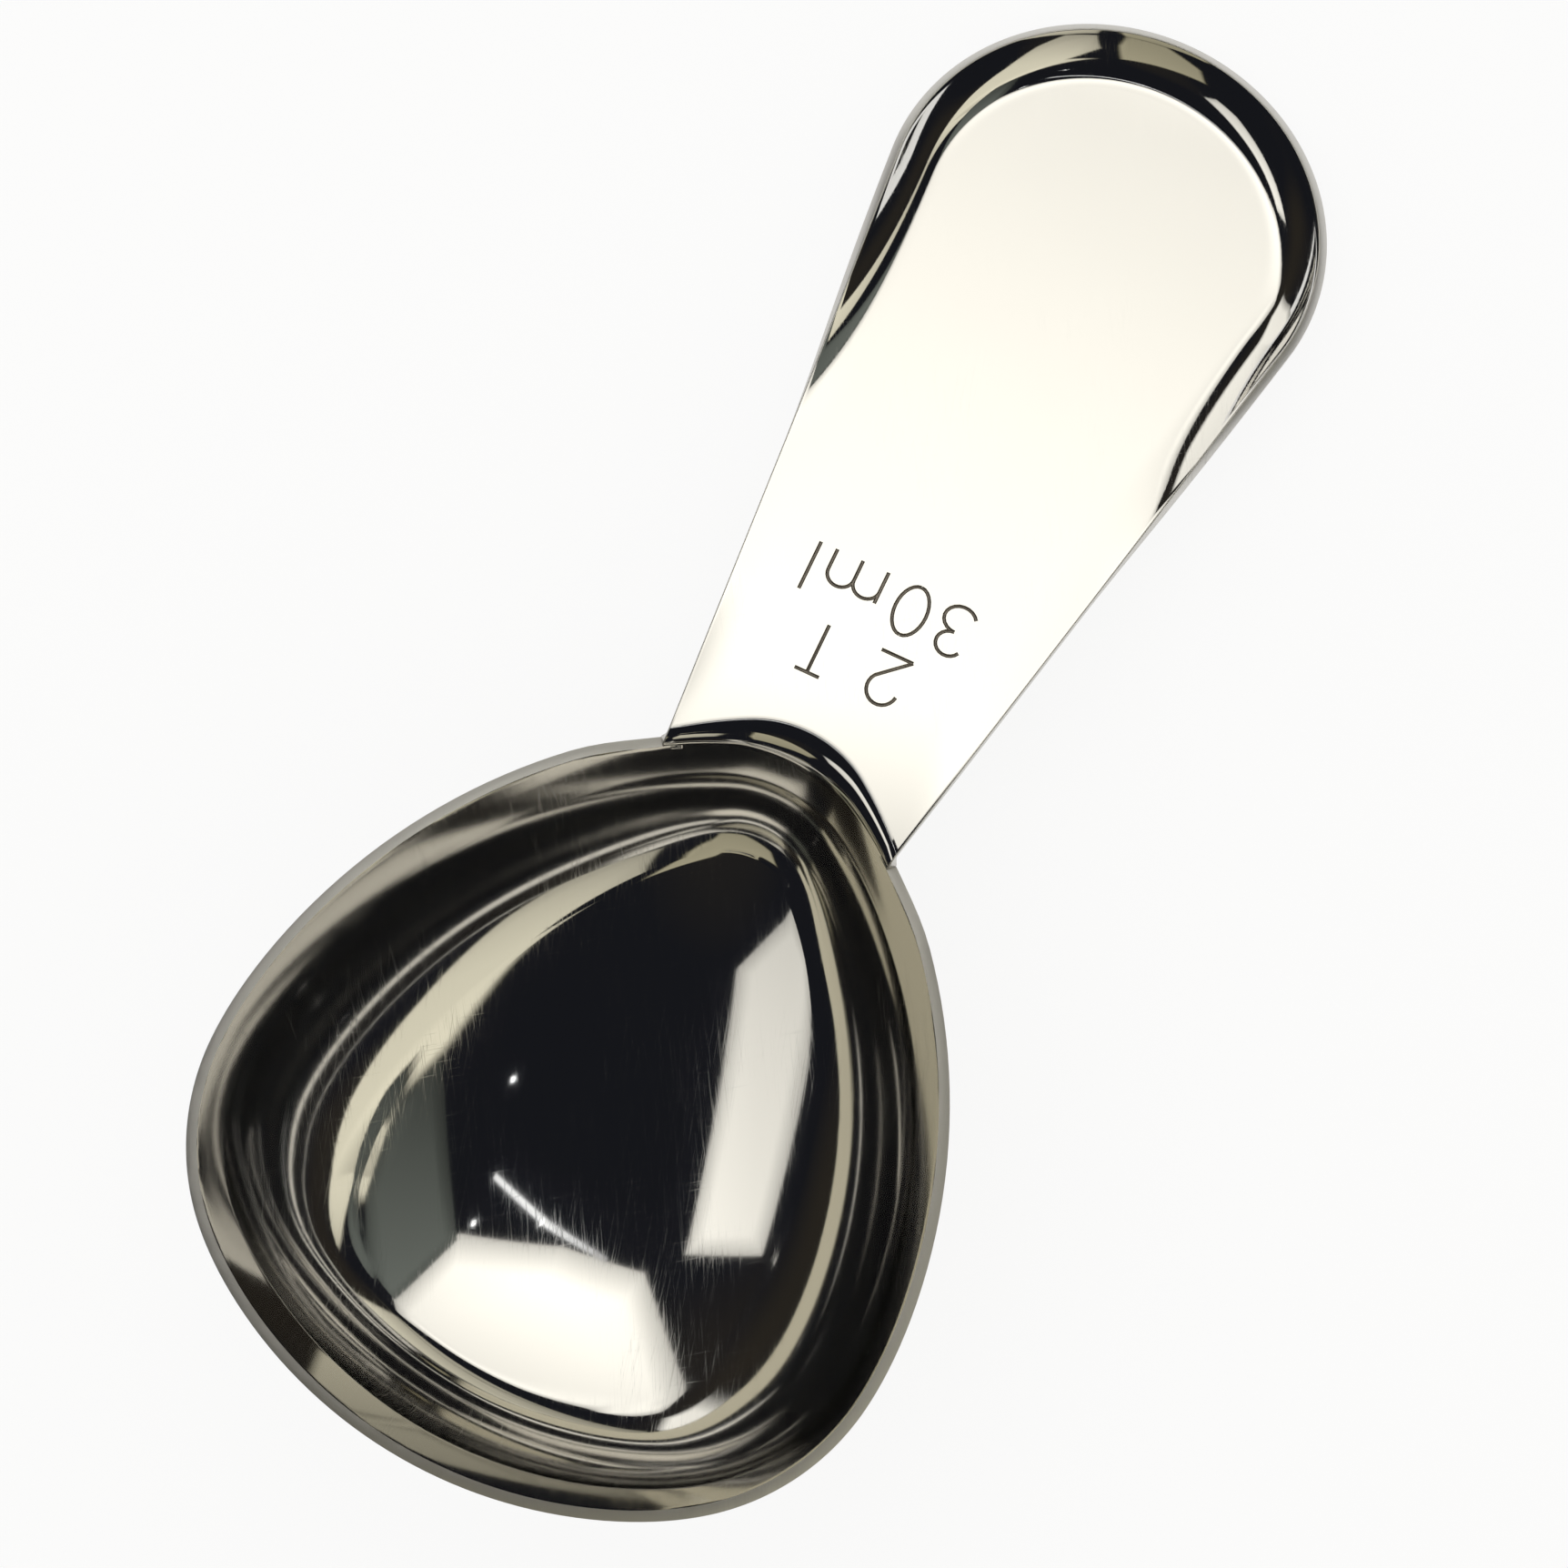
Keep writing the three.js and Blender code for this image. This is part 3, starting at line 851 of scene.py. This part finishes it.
def polished_steel(looks):
    """Mirror-polished steel with fine scratches from the polishing wheel."""
    material = bpy.data.materials.get(STEEL_FINISH)
    if material:
        return material
    material = bpy.data.materials.new(STEEL_FINISH)
    finish = Finish(material)
    place = finish.wire("ShaderNodeTexCoord", {}, {}, "Object")
    patches = finish.noise(place, scale=PATCH_SCALE, detail=2.0)
    worn = finish.rise(patches, *WORN_LEVELS)
    scratches = 0.0
    for turn, level in SCRATCH_RUNS:
        run = finish.wire(
            "ShaderNodeMapping",
            {"vector_type": "TEXTURE"},
            {
                "Vector": place,
                "Rotation": (0.0, 0.0, math.radians(turn)),
                "Scale": (looks.scratch_length, looks.scratch_width, looks.scratch_length),
            },
        )
        grain = finish.noise(run, scale=1.0, detail=1.0)
        scratches = scratches + finish.rise(grain, level, level + SCRATCH_FADE)
    scratches = scratches * (LEAST_WORN + (1 - LEAST_WORN) * worn)
    groove = finish.attribute(GROOVE)
    least, spread = PATCH_HAZE
    roughness = looks.roughness * (least + spread * patches) + looks.scratch_roughness * scratches
    roughness = roughness + looks.wall_roughness * finish.attribute(WALL)
    roughness = roughness + looks.edge_roughness * finish.attribute(CUT_EDGE)
    roughness = roughness + looks.groove_roughness * groove
    bump = finish.wire(
        "ShaderNodeBump",
        {"invert": True},
        {"Strength": SCRATCH_BUMP, "Distance": SCRATCH_DEPTH, "Height": scratches},
    )
    shaded = (*(PATCH_SHADE * value for value in looks.tint), 1.0)
    tint = finish.mix(patches, shaded, (*looks.tint, 1.0))
    # Painted shade: the groove faces take the dark groove colour, standing in for the shade inside the
    # engraved lines.
    groove_shaded = finish.mix(groove, tint, (*looks.groove_shade_tint, 1.0))
    steel = finish.wire(
        "ShaderNodeBsdfPrincipled",
        {},
        {"Base Color": groove_shaded, "Metallic": 1.0, "Roughness": roughness, "Normal": bump},
    )
    finish.node("ShaderNodeOutputMaterial", {}, {"Surface": steel})
    return material


def glow(name, tint):
    """A light card's own light, as strong as its strength attribute says."""
    material = bpy.data.materials.new(name)
    finish = Finish(material)
    scaled = finish.wire(
        "ShaderNodeVectorMath",
        {"operation": "SCALE"},
        {"Vector": tint, "Scale": finish.attribute(STRENGTH)},
    )
    light = finish.wire("ShaderNodeEmission", {}, {"Color": scaled, "Strength": 1.0})
    finish.node("ShaderNodeOutputMaterial", {}, {"Surface": light})
    return material


FOLD_SCALE = 0.4
FOLD_LEVELS = (0.5, 0.85)


def folded_cloth(sizes):
    """The canopy's own faint light, paler along its folds."""
    material = bpy.data.materials.new("dark_canopy")
    finish = Finish(material)
    place = finish.wire("ShaderNodeTexCoord", {}, {}, "Object")
    folds = finish.rise(finish.noise(place, scale=FOLD_SCALE, detail=0.0), *FOLD_LEVELS)
    tint = finish.mix(folds, (*sizes.canopy_tint, 1.0), (*sizes.canopy_fold, 1.0))
    light = finish.wire("ShaderNodeEmission", {}, {"Color": tint, "Strength": 1.0})
    finish.node("ShaderNodeOutputMaterial", {}, {"Surface": light})
    return material


def seen_share(finish):
    """1 for rays from the camera and from mirrors or glass, 0 for the light on matt things."""
    path = finish.node("ShaderNodeLightPath", {}, {})
    rays = ("Is Camera Ray", "Is Glossy Ray", "Is Transmission Ray")
    camera, glossy, through = (Wire(finish, path.outputs[ray]) for ray in rays)
    return camera + glossy + through


def pale_floor(sizes):
    """Matt pale floor, lifted towards white in the picture, with a trace of the scoop's shadow."""
    material = bpy.data.materials.new("pale_floor")
    finish = Finish(material)
    matt = finish.wire("ShaderNodeBsdfDiffuse", {}, {"Color": (*sizes.floor_tint, 1.0)})
    white = finish.wire("ShaderNodeEmission", {}, {"Color": WHITE, "Strength": 1.0})
    mixed = finish.wire(
        "ShaderNodeMixShader", {}, {0: seen_share(finish) * sizes.floor_lift, 1: matt, 2: white}
    )
    finish.node("ShaderNodeOutputMaterial", {}, {"Surface": mixed})
    return material


def soft_world(sizes):
    """Even pale light from all round, white behind the scoop."""
    world = bpy.data.worlds.new("soft_world")
    finish = Finish(world)
    strength = sizes.ambient + (1.0 - sizes.ambient) * seen_share(finish)
    light = finish.wire("ShaderNodeBackground", {}, {"Color": WHITE, "Strength": strength})
    finish.node("ShaderNodeOutputWorld", {}, {"Surface": light})
    bpy.context.scene.world = world


def stage_object(bm, name, material):
    """Makes a thing of the studio, which is no part of the scoop."""
    mesh = bpy.data.meshes.new(name)
    bm.to_mesh(mesh)
    bm.free()
    mesh.materials.append(material)
    made = bpy.data.objects.new(name, mesh)
    bpy.context.scene.collection.objects.link(made)
    return made


def make_floor(sizes):
    """Pale floor under the scoop."""
    bm = bmesh.new()
    bmesh.ops.create_grid(bm, x_segments=1, y_segments=1, size=sizes.floor_radius)
    stage_object(bm, "studio_floor", pale_floor(sizes))


def make_canopy(sizes):
    """Dark cloth over the set, seen only in the steel."""
    bm = bmesh.new()
    steps = sizes.canopy_steps
    bmesh.ops.create_uvsphere(
        bm, u_segments=steps, v_segments=steps // 2, radius=sizes.canopy_radius
    )
    bmesh.ops.bisect_plane(
        bm,
        geom=list(bm.verts) + list(bm.edges) + list(bm.faces),
        plane_co=(0.0, 0.0, sizes.canopy_radius * math.sin(sizes.canopy_foot)),
        plane_no=(0.0, 0.0, -1.0),
        clear_outer=True,
    )
    canopy = stage_object(bm, "dark_canopy", folded_cloth(sizes))
    canopy.visible_camera = False
    canopy.visible_diffuse = False
    canopy.visible_shadow = False


def sky_direction(sizes, right, up):
    """A direction over the table: degrees from straight up, to the right and up in the picture."""
    tilt = math.radians(math.hypot(right, up))
    turn = math.atan2(up, right) - sizes.card_turn
    level = direction(turn) * math.sin(tilt)
    return Vector((level.x, level.y, math.cos(tilt)))


WARM = (1.0, 0.985, 0.93)
CREAM = (1.0, 0.955, 0.77)
OLIVE = (1.0, 0.93, 0.66)
GREY_GREEN = (0.9, 1.0, 0.92)
COOL = (0.95, 0.97, 1.0)
# A card's soft border is in degrees. Each corner holds degrees right and up, and a strength.
CARDS = (
    {
        "name": "left_window", "tint": WARM, "soft": 3.0, "edge": 0.6,
        "corners": (
            (-19, 29, 1.4), (-18, -9.5, 1.0), (-27, -15, 0.9),
            (-33, -8, 0.95), (-34, 10, 1.1), (-33, 31, 1.25),
        ),
    },
    {
        "name": "top_window", "tint": WARM, "soft": 5.0, "edge": 0.5,
        "corners": (
            (-12, 30.5, 1.7), (5, 24, 1.8), (25.5, 18, 1.6),
            (36.5, 27, 1.25), (42, 37, 1.25), (30, 41, 1.6),
            (18, 47, 1.6), (9, 51, 1.5), (-8, 53, 1.4),
            (-22, 52, 1.4), (-23.4, 46, 1.4),
        ),
    },
    {
        "name": "far_band", "tint": CREAM, "soft": 2.0, "edge": 0.0,
        "corners": (
            (-20, 74, 0.3), (-23, 85, 0.6), (10, 84, 0.7),
            (40, 73, 0.7), (67, 50, 0.9), (53, 30, 0.8),
            (48, 42, 0.5), (33, 60, 0.3), (8, 70, 0.3),
        ),
    },
    {
        "name": "low_window", "tint": CREAM, "soft": 1.5, "edge": 0.0,
        "corners": (
            (39, 20, 0.6), (41.5, 9, 1.0), (38.5, -4, 1.1),
            (32, -9, 1.1), (20, -27, 0.9), (10, -28, 0.7),
            (8, -45, 0.55), (8, -62, 0.45), (24, -62, 0.5),
            (37, -51, 0.6), (47, -30, 0.9), (55, -11, 1.1),
            (57, 4, 1.0), (58, 24, 0.6),
        ),
    },
    {
        "name": "low_left_window", "tint": OLIVE, "soft": 2.0, "edge": 0.0,
        "corners": (
            (-30, -27, 0.45), (4, -29, 0.5), (2, -50, 0.5),
            (-3, -62, 0.4), (-22, -56, 0.4), (-34, -40, 0.4),
        ),
    },
    {
        "name": "high_left_window", "tint": WARM, "soft": 3.0, "edge": 0.3,
        "corners": (
            (-24, 58, 1.3), (-24, 72, 1.3), (-40, 84, 1.2),
            (-56, 80, 1.2), (-50, 66, 1.2), (-34, 54, 1.2),
        ),
    },
    {
        "name": "dim_window", "tint": GREY_GREEN, "soft": 2.0, "edge": 0.6,
        "corners": (
            (25.5, 19, 0.17), (36, 27, 0.2), (40, 20, 0.17),
            (42.5, 9, 0.14), (39.5, -3.5, 0.1), (33, -9, 0.07),
            (29, 8, 0.1),
        ),
    },
    {
        "name": "tube_lamp", "tint": COOL, "soft": 0.12, "edge": 0.0,
        "corners": (
            (-4, 27.9, 0.6), (9, 20.6, 2.1), (21, 11, 1.4),
            (20.6, 10.1, 1.4), (8.5, 19.7, 2.1), (-4.4, 27.2, 0.6),
        ),
    },
)
LAMP_STRENGTH = 3.0
LAMP_SOFT = 0.1
# Small square lamps: the lower left corner's degrees right and up, and the width in degrees.
LAMPS = (
    ("upper_lamp", 9.6, 19.0, 1.0),
    ("middle_lamp", 22.6, 16.6, 0.9),
    ("lower_lamp", 19.6, -3.4, 0.9),
)


def lamp_card(name, right, up, width):
    """A small square lamp, as a light card."""
    square = ((0.0, 0.0), (width, 0.0), (width, width), (0.0, width))
    corners = tuple((right + x, up + y, LAMP_STRENGTH) for x, y in square)
    return {"name": name, "tint": COOL, "soft": LAMP_SOFT, "edge": 0.0, "corners": corners}


def make_card(sizes, centre, name, tint, soft, edge, corners):
    """A light card over the bowl, between given directions, with a strength at each corner.

    Over its soft border it falls off to the edge share of that strength.
    """
    rays = [sky_direction(sizes, right, up) for right, up, _ in corners]
    middle = sum(rays, Vector()).normalized()
    bm = bmesh.new()
    layer = bm.verts.layers.float.new(STRENGTH)
    for ray, (_, _, strength) in zip(rays, corners):
        vert = bm.verts.new(centre + ray * sizes.card_distance / ray.dot(middle))
        vert[layer] = strength
    bmesh.ops.contextual_create(bm, geom=list(bm.verts))
    border = sizes.card_distance * math.tan(math.radians(soft))
    bmesh.ops.inset_individual(bm, faces=list(bm.faces), thickness=border, use_even_offset=True)
    for vert in bm.verts:
        if vert.is_boundary:
            vert[layer] *= edge
    card = stage_object(bm, name, glow(name, tint))
    card.visible_camera = False
    card.visible_shadow = False


def make_camera(sizes, matrix):
    """Camera over the scoop, placed from the middle of its mouth."""
    back = Vector((-math.sin(sizes.tip_tilt), -math.sin(sizes.side_tilt), 0.0))
    back.z = math.sqrt(1 - back.length_squared)
    along = (Vector((1.0, 0.0, 0.0)) - back * back.x).normalized()
    across = back.cross(along)
    up = along * math.cos(sizes.roll) + across * math.sin(sizes.roll)
    right = along * math.sin(sizes.roll) - across * math.cos(sizes.roll)
    place = Matrix((right, up, back)).transposed().to_4x4()
    place.translation = Vector((sizes.aim, sizes.aim_side, 0.0)) + back * sizes.distance
    data = bpy.data.cameras.new("photo_camera")
    data.lens = data.sensor_width * sizes.distance / sizes.picture_width
    data.clip_start = sizes.clip_start
    data.clip_end = sizes.clip_end
    camera = bpy.data.objects.new("photo_camera", data)
    camera.matrix_world = matrix @ place
    bpy.context.scene.collection.objects.link(camera)
    bpy.context.scene.camera = camera


class SCOOP_OT_bowl(bpy.types.Operator):
    """Models the drawn bowl"""

    bl_idname = "scoop.bowl"
    bl_label = "Drawn Bowl"

    def execute(self, context):
        scene = context.scene
        form = BowlForm(scene.scoop_bowl)
        HandleForm(scene.scoop_handle, form).dip_rim()
        build_bowl(form, scoop_matrix(form), polished_steel(scene.scoop_steel))
        return {"FINISHED"}


class SCOOP_OT_handle(bpy.types.Operator):
    """Models the pressed handle and engraves its capacity marks"""

    bl_idname = "scoop.handle"
    bl_label = "Pressed Handle"

    def execute(self, context):
        scene = context.scene
        bowl = BowlForm(scene.scoop_bowl)
        form = HandleForm(scene.scoop_handle, bowl)
        matrix = scoop_matrix(bowl)
        handle = build_handle(form, matrix, polished_steel(scene.scoop_steel))
        engrave(handle, form, scene.scoop_marks, matrix)
        return {"FINISHED"}


class SCOOP_OT_stage(bpy.types.Operator):
    """Sets up the pale floor, the light cards, the dark canopy and the camera"""

    bl_idname = "scoop.stage"
    bl_label = "Studio"

    def execute(self, context):
        scene = context.scene
        sizes = scene.scoop_stage
        soft_world(sizes)
        make_floor(sizes)
        make_canopy(sizes)
        bowl = BowlForm(scene.scoop_bowl)
        matrix = scoop_matrix(bowl)
        for card in (*CARDS, *(lamp_card(*lamp) for lamp in LAMPS)):
            make_card(sizes, matrix @ bowl.middle(), **card)
        make_camera(sizes, matrix)
        scene.view_settings.view_transform = "Standard"
        return {"FINISHED"}


class SCOOP_PT_panel(bpy.types.Panel):
    """Sizes and steps of the coffee scoop"""

    bl_idname = "SCOOP_PT_panel"
    bl_label = "Coffee Scoop"
    bl_space_type = "VIEW_3D"
    bl_region_type = "UI"
    bl_category = "Scoop"

    def draw(self, context):
        scene = context.scene
        groups = (
            (scene.scoop_bowl, SCOOP_OT_bowl),
            (scene.scoop_handle, SCOOP_OT_handle),
            (scene.scoop_marks, None),
            (scene.scoop_steel, None),
            (scene.scoop_stage, SCOOP_OT_stage),
        )
        for group, operator in groups:
            box = self.layout.box()
            for name in group.__annotations__:
                box.prop(group, name)
            if operator:
                box.operator(operator.bl_idname)


GROUPS = {
    "scoop_bowl": BowlSizes,
    "scoop_handle": HandleSizes,
    "scoop_marks": MarkSizes,
    "scoop_steel": SteelLooks,
    "scoop_stage": StageSizes,
}
CLASSES = (*GROUPS.values(), SCOOP_OT_bowl, SCOOP_OT_handle, SCOOP_OT_stage, SCOOP_PT_panel)


def register():
    for cls in CLASSES:
        bpy.utils.register_class(cls)
    for name, group in GROUPS.items():
        setattr(bpy.types.Scene, name, PointerProperty(type=group))


def unregister():
    for name in GROUPS:
        delattr(bpy.types.Scene, name)
    for cls in reversed(CLASSES):
        bpy.utils.unregister_class(cls)


def main():
    register()
    bpy.ops.scoop.bowl()
    bpy.ops.scoop.handle()
    bpy.ops.scoop.stage()


if __name__ == "__main__":
    main()
